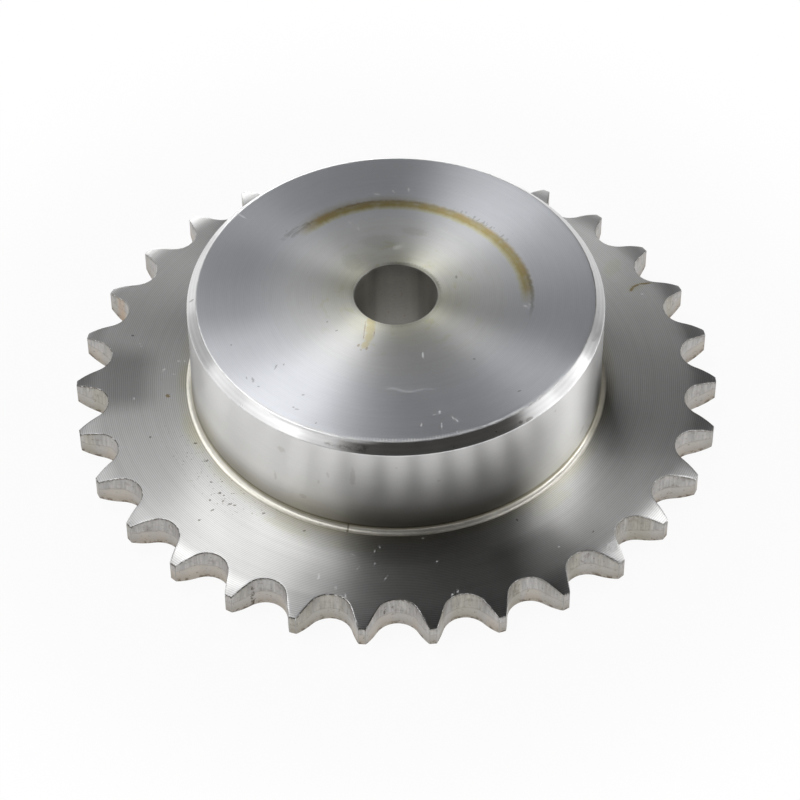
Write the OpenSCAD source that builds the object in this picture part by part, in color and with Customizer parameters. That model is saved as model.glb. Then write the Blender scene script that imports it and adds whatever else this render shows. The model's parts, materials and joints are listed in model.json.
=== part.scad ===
// Roller chain sprocket with a plain hub on one side and a pilot bore, machined from one blank.
// The blank is a body of revolution, and the tooth spaces are cut through its rim.
// The origin is on the bore axis at the flat back face, and +Z runs along the bore to the hub face.

/* [Chain] */
// Chain pitch, from roller to roller
pitch = 12.7; // [12:0.05:16]
// Diameter of the chain's rollers
roller_d = 8.51; // [7.5:0.01:9]
// Clearance between a roller and its seat, on the radius
seat_clearance = 0.04; // [0.02:0.01:0.2]

/* [Teeth] */
// Number of teeth
teeth = 30; // [26:1:60]
// Height of the tooth tips above the pitch circle
tip_rise = 2; // [1.8:0.05:3]
// Angle that a roller's seat spans
seat_angle = 127; // [120:1:140]
// Radius of the convex tooth flanks
flank_r = 45; // [33:1:73]

/* [Plate] */
// Thickness of the toothed plate
plate_t = 7; // [5:0.1:9]
// Depth of the side relief at the tooth tips, on each face
relief_depth = 1.3; // [0.5:0.1:2]
// Radius of the side relief
relief_r = 12.7; // [8:0.1:25]

/* [Hub] */
// Diameter of the hub
hub_d = 80; // [50:0.5:96]
// Length through the bore, from the back face to the hub face
overall_l = 30; // [20:0.5:60]
// Chamfer around the hub face
hub_chamfer = 1.8; // [0.5:0.1:4]
// Fillet where the hub meets the plate
hub_fillet = 1.1; // [0.3:0.1:3]

/* [Bore] */
// Diameter of the pilot bore
bore_d = 16; // [10:0.5:40]
// Edge break at both ends of the bore
bore_chamfer = 0.15; // [0.05:0.05:1]

/* [Hidden] */

// Angle from one tooth to the next
tooth_step = 360 / teeth;
pitch_r = pitch / 2 / sin(tooth_step / 2);
tip_r = pitch_r + tip_rise;
seat_r = roller_d / 2 + seat_clearance;
hub_r = hub_d / 2;
bore_r = bore_d / 2;

// A flank is tangent to the roller seat at the end of the seat's arc, so its centre lies on the same line
seat_end_x = pitch_r - seat_r * cos(seat_angle / 2);
flank_centre_x = pitch_r - (seat_r + flank_r) * cos(seat_angle / 2);
flank_centre_y = (seat_r + flank_r) * sin(seat_angle / 2);

// The relief arc starts level with the plate's face at this radius
relief_start_r = tip_r - sqrt(relief_depth * (2 * relief_r - relief_depth));

// Room that a cut takes past the surface it opens
cut_over = 1;
blank_fn = 360;
seat_fn = 96;
flank_fn = 720;
arc_fn = 96;

steel_colour = [0.72, 0.73, 0.74];

// Half section of the plate's rim, between the arcs that thin the teeth towards their tips
module rim_section() {
    intersection() {
        translate([relief_start_r, 0]) square([tip_r - relief_start_r, plate_t]);
        translate([relief_start_r, relief_r]) circle(r = relief_r, $fn = flank_fn);
        translate([relief_start_r, plate_t - relief_r]) circle(r = relief_r, $fn = flank_fn);
    }
}

// Half section of the plate, from the bore to where the relief starts
module plate_section() {
    translate([bore_r, 0]) square([relief_start_r - bore_r, plate_t]);
}

// Half section of the hub, chamfered at its face
module hub_section() {
    polygon([
        [bore_r, 0],
        [hub_r, 0],
        [hub_r, overall_l - hub_chamfer],
        [hub_r - hub_chamfer, overall_l],
        [bore_r, overall_l],
    ]);
}

// Half section of the fillet in the corner between the hub and the plate
module fillet_section() {
    translate([hub_r, plate_t]) difference() {
        square(hub_fillet);
        translate([hub_fillet, hub_fillet]) circle(r = hub_fillet, $fn = arc_fn);
    }
}

// Half section of the edge break at one end of the bore, with the face at height zero
module bore_break_section() {
    polygon([
        [bore_r - cut_over, -cut_over],
        [bore_r + bore_chamfer + cut_over, -cut_over],
        [bore_r - cut_over, bore_chamfer + cut_over],
    ]);
}

// The turned blank, before its teeth are cut
module blank() {
    rotate_extrude($fn = blank_fn) difference() {
        union() {
            rim_section();
            plate_section();
            hub_section();
            fillet_section();
        }
        bore_break_section();
        translate([0, overall_l]) mirror([0, 1]) bore_break_section();
    }
}

// Outline of one tooth space on the X axis: a roller seat that opens outwards between two convex flanks
module tooth_space_outline() {
    translate([pitch_r, 0]) circle(r = seat_r, $fn = seat_fn);
    difference() {
        translate([seat_end_x, -pitch]) square([tip_r + cut_over - seat_end_x, 2 * pitch]);
        for (side = [-1, 1])
            translate([flank_centre_x, side * flank_centre_y]) circle(r = flank_r, $fn = flank_fn);
    }
}

// All tooth spaces, half a step round from the X axis, so that a tooth points along it
module tooth_spaces() {
    for (i = [0 : teeth - 1])
        rotate([0, 0, (i + 0.5) * tooth_step])
            translate([0, 0, -cut_over])
                linear_extrude(height = plate_t + 2 * cut_over) tooth_space_outline();
}

// The finished sprocket
module sprocket() {
    color(steel_colour) difference() {
        blank();
        tooth_spaces();
    }
}

sprocket();
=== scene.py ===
"""Looks of a machined roller chain sprocket: turned faces, cut teeth, stains, studio light and camera."""

import json
import logging
import math
from collections.abc import Callable
from dataclasses import dataclass
from enum import Enum
from typing import ClassVar

import bmesh
import bpy
from mathutils import Matrix, Vector


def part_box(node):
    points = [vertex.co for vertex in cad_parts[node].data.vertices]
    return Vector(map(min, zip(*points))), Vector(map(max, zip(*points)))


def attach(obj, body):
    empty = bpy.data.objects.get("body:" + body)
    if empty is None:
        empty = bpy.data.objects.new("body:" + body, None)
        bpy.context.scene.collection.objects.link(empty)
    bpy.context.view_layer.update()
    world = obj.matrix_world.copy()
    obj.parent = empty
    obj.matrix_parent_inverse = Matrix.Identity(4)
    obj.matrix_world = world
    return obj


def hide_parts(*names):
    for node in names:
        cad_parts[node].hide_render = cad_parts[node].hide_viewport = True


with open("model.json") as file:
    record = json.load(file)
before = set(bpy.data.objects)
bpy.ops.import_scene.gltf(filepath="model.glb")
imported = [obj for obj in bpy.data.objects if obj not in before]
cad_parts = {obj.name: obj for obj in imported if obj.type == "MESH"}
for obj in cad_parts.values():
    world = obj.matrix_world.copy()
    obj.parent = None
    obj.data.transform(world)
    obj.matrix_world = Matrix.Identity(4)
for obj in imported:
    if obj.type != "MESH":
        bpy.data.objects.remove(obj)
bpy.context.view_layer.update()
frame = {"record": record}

MM = 0.001
LOG = logging.getLogger("sprocket")

Colour = tuple[float, float, float]
# A mask is 0 at a fade's first value and 1 at its second.
Fade = tuple[float, float]


class Zone(Enum):
    """The differently machined surfaces of the sprocket, in the order of its material slots."""

    HUB_FACE = 0
    PLATE_FACE = 1
    BACK_FACE = 2
    WALL = 3
    CHAMFER = 4
    FILLET = 5
    TOOTH = 6
    BORE = 7
    TOOTH_EDGE = 8
    HUB_EDGE = 9


@dataclass(frozen=True)
class SprocketSizes:
    """Real sizes of the sprocket, in metres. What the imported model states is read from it."""

    teeth: int
    pitch_r: float
    plate_t: float
    bore_r: float
    tip_r: float
    length: float
    hub_r: float = 40.0 * MM
    hub_chamfer: float = 1.8 * MM
    hub_fillet: float = 1.1 * MM
    bore_chamfer: float = 0.15 * MM
    seat_r: float = 4.295 * MM
    seat_angle: float = math.radians(127)
    flank_r: float = 45.0 * MM
    relief_depth: float = 1.3 * MM
    relief_r: float = 12.7 * MM

    @classmethod
    def from_frame(cls) -> "SprocketSizes":
        """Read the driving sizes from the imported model.

        Returns:
            The sizes, with those that the record's mounts and the model's box give.
        """
        dims = {mount["name"]: mount["dims"] for mount in frame["record"]["mounts"]}
        low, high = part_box("sprocket")
        return cls(
            teeth=int(dims["chain_teeth"]["count"]),
            pitch_r=dims["chain_teeth"]["pcd_mm"] / 2 * MM,
            plate_t=dims["chain_teeth"]["length_mm"] * MM,
            bore_r=dims["bore"]["r_mm"] * MM,
            tip_r=high.x,
            length=high.z - low.z,
        )

    @property
    def step(self) -> float:
        """Angle from one tooth to the next, in radians."""
        return 2 * math.pi / self.teeth

    @property
    def root_r(self) -> float:
        """Radius of the circle that the roller seats reach down to."""
        return self.pitch_r - self.seat_r

    @property
    def seat_end(self) -> Vector:
        """Where a roller seat ends and its flank begins, beside a tooth space on the X axis."""
        half = self.seat_angle / 2
        return Vector((self.pitch_r - self.seat_r * math.cos(half), self.seat_r * math.sin(half), 0))

    @property
    def flank_centre(self) -> Vector:
        """Centre of the convex flank's arc, beside a tooth space on the X axis."""
        half, reach = self.seat_angle / 2, self.seat_r + self.flank_r
        return Vector((self.pitch_r - reach * math.cos(half), reach * math.sin(half), 0))

    @property
    def tip_corner(self) -> Vector:
        """Where the flank meets the tip circle, beside a tooth space on the X axis."""
        centre = self.flank_centre
        away = centre.length
        along = (self.tip_r**2 - self.flank_r**2 + away**2) / (2 * away)
        aside = math.sqrt(self.tip_r**2 - along**2)
        outward = centre / away
        return outward * along + Vector((outward.y, -outward.x, 0)) * aside

    @property
    def flank_sweep(self) -> float:
        """Angle that the flank's arc turns through, in radians."""
        centre = self.flank_centre
        return (self.seat_end - centre).angle(self.tip_corner - centre)

    @property
    def relief_start(self) -> float:
        """Radius at which the side relief leaves the plate's flat face."""
        return self.tip_r - math.sqrt(self.relief_depth * (2 * self.relief_r - self.relief_depth))

    @property
    def fillet_top(self) -> float:
        """Height at which the fillet ends and the hub's wall begins."""
        return self.plate_t + self.hub_fillet

    @property
    def wall_top(self) -> float:
        """Height at which the hub's wall ends and its chamfer begins."""
        return self.length - self.hub_chamfer

    @property
    def clear_of_bore(self) -> float:
        """Radius outside which nothing of the bore or its edges lies."""
        return 2 * self.bore_r


class Bench:
    """Shapes one mesh in edit mode with Blender's own modelling operators."""

    MERGE = 0.5e-6
    START_SIZE = 10 * MM
    EDGE_STEPS = 2

    def __init__(self, name: str) -> None:
        """Start an object from a plane that is merged to one point at the origin.

        Args:
            name: The object's name.
        """
        bpy.ops.object.select_all(action="DESELECT")
        bpy.ops.mesh.primitive_plane_add(size=self.START_SIZE, location=(0, 0, 0))
        self.piece = bpy.context.object
        self.piece.name = name
        self.piece.data.name = name
        bpy.ops.object.mode_set(mode="EDIT")
        self.all()
        bpy.ops.mesh.merge(type="CENTER")

    def all(self) -> None:
        """Select the whole mesh."""
        bpy.ops.mesh.select_all(action="SELECT")

    def pick(self, kind: str, test: Callable) -> int:
        """Select the elements that pass a test, and nothing else.

        Args:
            kind: "VERT", "EDGE" or "FACE".
            test: Takes a bmesh element and says whether it is wanted.

        Returns:
            How many elements are selected.
        """
        bpy.ops.mesh.select_all(action="DESELECT")
        bpy.ops.mesh.select_mode(type=kind)
        mesh = bmesh.from_edit_mesh(self.piece.data)
        elements = {"VERT": mesh.verts, "EDGE": mesh.edges, "FACE": mesh.faces}[kind]
        count = 0
        for element in elements:
            if test(element):
                element.select_set(True)
                count += 1
        mesh.select_flush_mode()
        bmesh.update_edit_mesh(self.piece.data)
        return count

    def move(self, x: float = 0, y: float = 0, z: float = 0) -> None:
        """Move what is selected."""
        bpy.ops.transform.translate(value=(x, y, z))

    def scale(self, x: float, y: float, z: float, centre: tuple[float, float, float] = (0, 0, 0)) -> None:
        """Scale what is selected about a centre."""
        bpy.ops.transform.resize(value=(x, y, z), center_override=centre)

    def sweep(self, angle: float, centre: Vector, steps: int,
              axis: tuple[float, float, float] = (0, 0, 1)) -> None:
        """Draw an arc from the selected points, anticlockwise about an axis for a positive angle."""
        bpy.ops.mesh.spin(steps=steps, angle=-angle, center=centre, axis=axis)

    def copy_round(self, copies: int) -> None:
        """Repeat what is selected evenly round the Z axis and join the copies."""
        bpy.ops.mesh.spin(steps=copies, dupli=True, angle=2 * math.pi, center=(0, 0, 0), axis=(0, 0, 1))
        self.join()

    def join(self) -> None:
        """Merge points that lie in one place, over the whole mesh."""
        self.all()
        bpy.ops.mesh.remove_doubles(threshold=self.MERGE)

    def extrude_ring(self, old: tuple[float, float], new: tuple[float, float]) -> None:
        """Extrude the selected ring to another radius and height.

        Args:
            old: The ring's radius and height.
            new: The new ring's radius and height.
        """
        bpy.ops.mesh.extrude_region()
        ratio = new[0] / old[0]
        self.scale(ratio, ratio, 1)
        self.move(z=new[1] - old[1])

    def dress(self, zone: Zone, test: Callable[[float, float, float], bool]) -> None:
        """Give the faces that pass a test to a zone's material slot.

        Args:
            zone: The zone.
            test: Takes the radius and the height of a face's middle and the upward part of its normal.
        """
        def wanted(face: bmesh.types.BMFace) -> bool:
            middle = face.calc_center_median()
            return test(middle.xy.length, middle.z, face.normal.z)

        self.pick("FACE", wanted)
        self.piece.active_material_index = zone.value
        bpy.ops.object.material_slot_assign()

    def round_edges(self, zone: Zone, width: float, test: Callable) -> int:
        """Round the edges that pass a test and give the new faces to a zone's material slot.

        Args:
            zone: The zone of the rounded edges.
            width: How far the rounding reaches over each face.
            test: Takes an edge and says whether it is wanted.

        Returns:
            How many edges were rounded.
        """
        count = self.pick("EDGE", test)
        bpy.ops.mesh.bevel(
            offset=width, segments=self.EDGE_STEPS, material=zone.value, clamp_overlap=False)
        return count

    def finish(self) -> bpy.types.Object:
        """Leave edit mode.

        Returns:
            The shaped object.
        """
        bpy.ops.mesh.select_all(action="DESELECT")
        bpy.ops.object.mode_set(mode="OBJECT")
        return self.piece


@dataclass
class SprocketBlank:
    """Models the sprocket as one closed mesh: a toothed rim, and rings drawn from it like a lathe's cuts."""

    sizes: SprocketSizes
    seat_steps: int = 8
    flank_steps: int = 5
    land_steps: int = 1
    fillet_steps: int = 6
    form_steps: int = 40
    form_sides: int = 720
    form_spare: float = math.radians(4)
    rim_rings: int = 9
    tooth_rings: int = 4
    hub_rings: int = 4
    rim_inner_r: float = 54.0 * MM
    plate_ring: float = 47.0 * MM
    face_rings: tuple[float, ...] = (37.0 * MM, 30.0 * MM, 22.0 * MM, 14.0 * MM)
    back_rings: tuple[float, ...] = (16.0 * MM, 30.0 * MM, 45.0 * MM)
    tooth_edge: float = 0.1 * MM
    hub_edge: float = 0.14 * MM
    sharp: float = math.radians(30)
    smooth_below: float = math.radians(50)
    near: float = 0.01 * MM
    level: float = 0.5

    @property
    def around(self) -> int:
        """Number of points in each ring."""
        return 2 * (self.seat_steps + self.flank_steps + self.land_steps) * self.sizes.teeth

    def outline(self, bench: Bench) -> None:
        """Draw the toothed outline level with the plate's front face."""
        sizes = self.sizes
        z = Vector((0, 0, sizes.plate_t))
        bench.move(x=sizes.root_r, z=sizes.plate_t)
        bench.sweep(-sizes.seat_angle / 2, Vector((sizes.pitch_r, 0, 0)) + z, self.seat_steps)
        bench.sweep(sizes.flank_sweep, sizes.flank_centre + z, self.flank_steps)
        corner = sizes.tip_corner
        land = sizes.step / 2 - math.atan2(corner.y, corner.x)
        bench.sweep(land, z, self.land_steps)
        bench.all()
        bpy.ops.mesh.duplicate()
        bench.scale(1, -1, 1)
        bench.all()
        bpy.ops.transform.rotate(value=sizes.step / 2, orient_axis="Z", center_override=(0, 0, 0))
        bench.join()
        bench.all()
        bench.copy_round(sizes.teeth)

    def rim_face(self, bench: Bench) -> None:
        """Fill the plate's front face from the toothed outline in to a round ring."""
        bpy.ops.mesh.select_all(action="DESELECT")
        bpy.ops.mesh.primitive_circle_add(
            vertices=self.around, radius=self.rim_inner_r, location=(0, 0, self.sizes.plate_t))
        bench.all()
        bpy.ops.mesh.bridge_edge_loops(number_cuts=self.rim_rings, interpolation="LINEAR")

    def relieve(self, piece: bpy.types.Object) -> None:
        """Thin the teeth towards their tips by pressing the rim onto a turned relief form."""
        sizes = self.sizes
        form = Bench("relief_form")
        start = Vector((sizes.relief_start, 0, sizes.plate_t))
        form.move(x=start.x, z=start.z)
        sweep = math.acos(1 - sizes.relief_depth / sizes.relief_r) + self.form_spare
        form.sweep(sweep, start - Vector((0, 0, sizes.relief_r)), self.form_steps, axis=(0, 1, 0))
        form.all()
        form.sweep(2 * math.pi, Vector((0, 0, 0)), self.form_sides)
        form.join()
        form_piece = form.finish()
        bpy.ops.object.select_all(action="DESELECT")
        bpy.context.view_layer.objects.active = piece
        piece.select_set(True)
        press = piece.modifiers.new("relief", "SHRINKWRAP")
        press.target = form_piece
        press.wrap_method = "PROJECT"
        press.use_project_z = True
        press.use_negative_direction = True
        press.use_positive_direction = True
        bpy.ops.object.modifier_apply(modifier=press.name)
        bpy.data.objects.remove(form_piece)

    def lathe_profile(self) -> list[tuple[float, float]]:
        """List each ring's radius and height, from the rim over the hub and through the bore to the back.

        Returns:
            The rings in the order in which they are drawn.
        """
        s = self.sizes
        angles = [math.pi / 2 * i / self.fillet_steps for i in range(self.fillet_steps + 1)]
        fillet = [(s.hub_r + s.hub_fillet * (1 - math.sin(a)), s.plate_t + s.hub_fillet * (1 - math.cos(a)))
                  for a in angles]
        rise = (s.wall_top - s.fillet_top) / self.hub_rings
        wall = [(s.hub_r, s.fillet_top + rise * i) for i in range(1, self.hub_rings + 1)]
        face = [(r, s.length) for r in self.face_rings]
        bore = [
            (s.bore_r + s.bore_chamfer, s.length),
            (s.bore_r, s.length - s.bore_chamfer),
            (s.bore_r, s.length / 2),
            (s.bore_r, s.bore_chamfer),
            (s.bore_r + s.bore_chamfer, 0.0),
        ]
        back = [(r, 0.0) for r in self.back_rings]
        start, end = (self.plate_ring, s.plate_t), (self.rim_inner_r, 0.0)
        chamfer = (s.hub_r - s.hub_chamfer, s.length)
        return [start, *fillet, *wall, chamfer, *face, *bore, *back, end]

    def dress(self, bench: Bench) -> None:
        """Give each face to the zone that it is machined with."""
        s = self.sizes
        top = s.length - self.near
        fillet_r = s.hub_r + s.hub_fillet
        tests: dict[Zone, Callable[[float, float, float], bool]] = {
            Zone.HUB_FACE: lambda r, z, up: z > top,
            Zone.PLATE_FACE: lambda r, z, up: up > self.level and r > fillet_r,
            Zone.BACK_FACE: lambda r, z, up: up < -self.level,
            Zone.TOOTH: lambda r, z, up: abs(up) < self.level and r > s.root_r - self.near,
            Zone.WALL: lambda r, z, up: s.fillet_top < z < s.wall_top and r > s.clear_of_bore,
            Zone.CHAMFER: lambda r, z, up: s.wall_top < z < top and r > s.clear_of_bore,
            Zone.FILLET: lambda r, z, up: s.plate_t < z < s.fillet_top and s.hub_r < r < fillet_r,
            Zone.BORE: lambda r, z, up: r < s.bore_r + s.bore_chamfer,
        }
        for zone, test in tests.items():
            bench.dress(zone, test)

    def soften(self, bench: Bench) -> None:
        """Round the sharp edges of the teeth and of the hub."""
        def is_sharp(edge: bmesh.types.BMEdge) -> bool:
            return len(edge.link_faces) == 2 and edge.calc_face_angle() > self.sharp

        def edge_r(edge: bmesh.types.BMEdge) -> float:
            return min(vert.co.xy.length for vert in edge.verts)

        inner, outer = self.sizes.clear_of_bore, self.rim_inner_r
        teeth = bench.round_edges(
            Zone.TOOTH_EDGE, self.tooth_edge, lambda e: is_sharp(e) and edge_r(e) > outer)
        hub = bench.round_edges(
            Zone.HUB_EDGE, self.hub_edge, lambda e: is_sharp(e) and inner < edge_r(e) < outer)
        LOG.info("rounded %d edges on the teeth and %d on the hub", teeth, hub)

    def smooth(self, piece: bpy.types.Object) -> None:
        """Shade the rounded surfaces smoothly and keep the flat ones flat.

        The modifier takes faces of under a square millimetre for empty ones, so it works on an enlarged mesh.

        Args:
            piece: The sprocket's object.
        """
        bpy.ops.object.select_all(action="DESELECT")
        piece.select_set(True)
        bpy.context.view_layer.objects.active = piece
        bpy.ops.object.shade_smooth_by_angle(angle=self.smooth_below)
        weigh = piece.modifiers.new("weigh", "WEIGHTED_NORMAL")
        weigh.mode = "FACE_AREA"
        weigh.keep_sharp = True
        for factor in (1 / MM, MM):
            piece.scale = (factor, factor, factor)
            bpy.ops.object.transform_apply(location=False, rotation=False, scale=True)
            if piece.modifiers:
                bpy.ops.object.modifier_apply(modifier=weigh.name)

    def build(self, materials: dict[Zone, bpy.types.Material]) -> bpy.types.Object:
        """Model the whole sprocket.

        Args:
            materials: The material of each zone.

        Returns:
            The finished mesh object.
        """
        sizes = self.sizes
        bench = Bench("machined_sprocket")
        for zone in Zone:
            bench.piece.data.materials.append(materials[zone])
        self.outline(bench)
        self.rim_face(bench)
        bpy.ops.object.mode_set(mode="OBJECT")
        self.relieve(bench.piece)
        bpy.ops.object.mode_set(mode="EDIT")
        bench.all()
        bpy.ops.mesh.duplicate()
        middle = sizes.plate_t / 2
        bench.scale(1, 1, -1, (0, 0, middle))
        between = (self.rim_inner_r + sizes.root_r) / 2
        bench.pick("EDGE", lambda e: e.is_boundary and e.verts[0].co.xy.length > between)
        bpy.ops.mesh.bridge_edge_loops(number_cuts=self.tooth_rings - 1, interpolation="LINEAR")
        bench.pick("EDGE", lambda e: e.is_boundary and e.verts[0].co.z > middle)
        last = (self.rim_inner_r, sizes.plate_t)
        for ring in self.lathe_profile():
            bench.extrude_ring(last, ring)
            last = ring
        bench.join()
        bpy.ops.mesh.normals_make_consistent(inside=False)
        self.dress(bench)
        self.soften(bench)
        piece = bench.finish()
        self.smooth(piece)
        return piece


class Wire:
    """One output of a shader node. Arithmetic on it adds Math nodes."""

    def __init__(self, graph: "Graph", socket: bpy.types.NodeSocket) -> None:
        """Keep the socket and the graph that it is in."""
        self.graph = graph
        self.socket = socket

    def math(self, operation: str, *values: "Wire | float") -> "Wire":
        """Add a Math node that works on these values."""
        return self.graph.add("ShaderNodeMath", {"operation": operation}, dict(enumerate(values)))

    def __add__(self, other: "Wire | float") -> "Wire":
        """Sum."""
        return self.math("ADD", self, other)

    def __radd__(self, other: float) -> "Wire":
        """Sum, from the right."""
        return self.math("ADD", other, self)

    def __sub__(self, other: "Wire | float") -> "Wire":
        """Difference."""
        return self.math("SUBTRACT", self, other)

    def __rsub__(self, other: float) -> "Wire":
        """Difference, from the right."""
        return self.math("SUBTRACT", other, self)

    def __mul__(self, other: "Wire | float") -> "Wire":
        """Product."""
        return self.math("MULTIPLY", self, other)

    def __rmul__(self, other: float) -> "Wire":
        """Product, from the right."""
        return self.math("MULTIPLY", other, self)

    def __truediv__(self, other: "Wire | float") -> "Wire":
        """Quotient."""
        return self.math("DIVIDE", self, other)

    def most(self, other: "Wire | float") -> "Wire":
        """Larger of two values."""
        return self.math("MAXIMUM", self, other)

    def least(self, other: "Wire | float") -> "Wire":
        """Smaller of two values."""
        return self.math("MINIMUM", self, other)

    def root(self) -> "Wire":
        """Square root."""
        return self.math("SQRT", self)

    def sine(self) -> "Wire":
        """Sine of an angle in radians."""
        return self.math("SINE", self)

    def size(self) -> "Wire":
        """Value without its sign."""
        return self.math("ABSOLUTE", self)

    def rise(self, low: float, high: float) -> "Wire":
        """Go smoothly from 0 at low to 1 at high, or down if high is below low."""
        if high < low:
            return 1.0 - self.rise(high, low)
        return self.graph.add(
            "ShaderNodeMapRange", {"interpolation_type": "SMOOTHSTEP"},
            {"Value": self, "From Min": low, "From Max": high})

    def band(self, middle: float, half: float, soft: float) -> "Wire":
        """Be 1 within half a width of the middle and fade to 0 over a soft edge."""
        return (self - middle).size().rise(half + soft, half)


class Graph:
    """The node tree of one material or of the world."""

    def __init__(self, tree: bpy.types.NodeTree) -> None:
        """Empty the tree."""
        self.tree = tree
        tree.nodes.clear()

    def add(self, kind: str, settings: dict | None = None, inputs: dict | None = None,
            output: int | str = 0) -> Wire:
        """Add a node.

        Args:
            kind: The node's type.
            settings: Its settings, such as an operation or a ramp's stops.
            inputs: Values or wires by the input's name or number.
            output: Name or number of the output that is wanted.

        Returns:
            The output, or an empty wire from a node that ends the tree.
        """
        node = self.tree.nodes.new(kind)
        for name, value in (settings or {}).items():
            setattr(node, name, value)
        for key, value in (inputs or {}).items():
            if isinstance(value, Wire):
                self.tree.links.new(value.socket, node.inputs[key])
            else:
                node.inputs[key].default_value = value
        return Wire(self, node.outputs[output] if node.outputs else None)

    def blend(self, factor: Wire | float, base: Wire | Colour, over: Wire | Colour, how: str = "MIX") -> Wire:
        """Lay one colour over another.

        Args:
            factor: How much of the upper colour is laid on.
            base: The lower colour.
            over: The upper colour.
            how: The blend type.

        Returns:
            The blended colour.
        """
        def full(colour: Wire | Colour) -> Wire | tuple[float, ...]:
            return colour if isinstance(colour, Wire) else (*colour, 1.0)
        return self.add(
            "ShaderNodeMix", {"data_type": "RGBA", "blend_type": how, "clamp_factor": True},
            {0: factor, 6: full(base), 7: full(over)}, 2)

    def tint(self, base: Wire | Colour, factor: Wire | float, filter_colour: Colour) -> Wire:
        """Cover a colour with a see-through film, by a factor from 0 to 1."""
        return self.blend(factor, base, filter_colour, "MULTIPLY")

    def dim(self, colour: Wire | Colour, level: Wire) -> Wire:
        """Make a colour lighter or darker by a level, where 1 leaves it as it is."""
        return self.add("ShaderNodeVectorMath", {"operation": "SCALE"}, {0: colour, "Scale": level})

    def noise(self, where: Wire, scale: float, detail: float = 2.0, rough: float = 0.5) -> Wire:
        """Even noise from 0 to 1 round each place, where scale is in spots per unit."""
        return self.add("ShaderNodeTexNoise", {}, {
            "Vector": where, "Scale": scale, "Detail": detail, "Roughness": rough})

    def line_noise(self, value: Wire, scale: float, detail: float = 2.0) -> Wire:
        """Noise that follows a single value, such as a radius."""
        return self.add("ShaderNodeTexNoise", {"noise_dimensions": "1D"}, {
            "W": value, "Scale": scale, "Detail": detail})

    def bump(self, height: Wire, distance: float) -> Wire:
        """Raise the surface by a height times a distance in metres."""
        return self.add("ShaderNodeBump", {}, {"Height": height, "Distance": distance})


@dataclass(frozen=True)
class Mark:
    """A small pit, fleck or stain, in millimetres, with the way that its length points in degrees."""

    x: float
    y: float
    length: float
    width: float
    way: float = 0.0
    DEEP: ClassVar[float] = 1e5


class Spot:
    """Where a shaded point lies on the sprocket, in millimetres and radians."""

    FRONT = 270.0
    OUTSIDE = 1.35
    INSIDE = 0.65

    def __init__(self, graph: Graph) -> None:
        """Read Object coordinates and turn them into millimetres and polar ones."""
        self.graph = graph
        metres = graph.add("ShaderNodeTexCoord", output="Object")
        self.place = graph.add("ShaderNodeVectorMath", {"operation": "SCALE"}, {0: metres, "Scale": 1 / MM})
        axes = (graph.add("ShaderNodeSeparateXYZ", {}, {0: self.place}, axis) for axis in range(3))
        self.x, self.y, self.z = axes
        self.r = (self.x * self.x + self.y * self.y).root()

    def turn(self, centre: float) -> Wire:
        """Angle from a direction in degrees, in radians, with its seam on the far side."""
        c, s = math.cos(math.radians(centre)), math.sin(math.radians(centre))
        along = self.x * c + self.y * s
        across = self.y * c - self.x * s
        return across.math("ARCTAN2", across, along)

    def lines(self, along: Wire, pitch: float) -> Wire:
        """Lines that a tool leaves at an even pitch, from -1 to 1."""
        return (along * (2 * math.pi / pitch)).sine()

    def stretched(self, x: float, y: float, z: float) -> Wire:
        """The place with its axes scaled, which draws noise out into streaks."""
        scales = {0: self.place, 1: (x, y, z)}
        return self.graph.add("ShaderNodeVectorMath", {"operation": "MULTIPLY"}, scales)

    def polar(self, around: float, out: float, up: float = 0.0) -> Wire:
        """Coordinates that follow the turning, for noise that is drawn out round the axis."""
        return self.graph.add("ShaderNodeCombineXYZ", {}, {
            0: self.x / self.r * around, 1: self.y / self.r * around, 2: self.r * out + self.z * up})

    def unrolled(self, radius: float, level: Wire) -> Wire:
        """The surface rolled out flat: length round the axis from the front, and a level."""
        return self.graph.add("ShaderNodeCombineXYZ", {}, {0: self.turn(self.FRONT) * radius, 1: level})

    def grain(self, scale: float, detail: float = 2.0, rough: float = 0.5) -> Wire:
        """Noise from 0 to 1 that is alike all ways, with its scale in spots a millimetre."""
        return self.graph.noise(self.place, scale, detail, rough)

    def clouds(self, scale: float, up: float = 0.0, detail: float = 3.0) -> Wire:
        """Slow noise from 0 to 1 across the axis, with scales in spots a millimetre across it and up it."""
        return self.graph.noise(self.stretched(scale, scale, up), 1.0, detail)

    def streaks(self, around: float, out: float, detail: float = 3.0, rough: float = 0.5) -> Wire:
        """Noise from 0 to 1 drawn out round the axis, with scales in spots a radian and a millimetre."""
        return self.graph.noise(self.polar(around, out), 1.0, detail, rough)

    def marked(self, marks: tuple[Mark, ...], edge: Wire, place: Wire | None = None) -> Wire:
        """Mask a group of small marks.

        Args:
            marks: The marks.
            edge: Noise round 0 that makes their edges ragged, as a share of their size.
            place: Where the marks are measured, if not as seen along the bore.

        Returns:
            A mask that is 1 inside the marks.
        """
        nearest = None
        for mark in marks:
            local = self.graph.add("ShaderNodeMapping", {"vector_type": "TEXTURE"}, {
                "Vector": place or self.place,
                "Location": (mark.x, mark.y, 0.0),
                "Rotation": (0.0, 0.0, math.radians(mark.way)),
                "Scale": (mark.length / 2, mark.width / 2, Mark.DEEP),
            })
            away = self.graph.add("ShaderNodeVectorMath", {"operation": "LENGTH"}, {0: local}, "Value")
            nearest = away if nearest is None else nearest.least(away)
        return (nearest + edge).rise(self.OUTSIDE, self.INSIDE)


@dataclass(frozen=True)
class Fan:
    """A stretch of the way round the axis: its middle in degrees, and how far off it is gone and full."""

    at: float
    gone: float
    full: float

    def mask(self, spot: Spot) -> Wire:
        """Be 1 in the stretch and 0 away from it, by the angles in radians."""
        return spot.turn(self.at).size().rise(self.gone, self.full)


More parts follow.
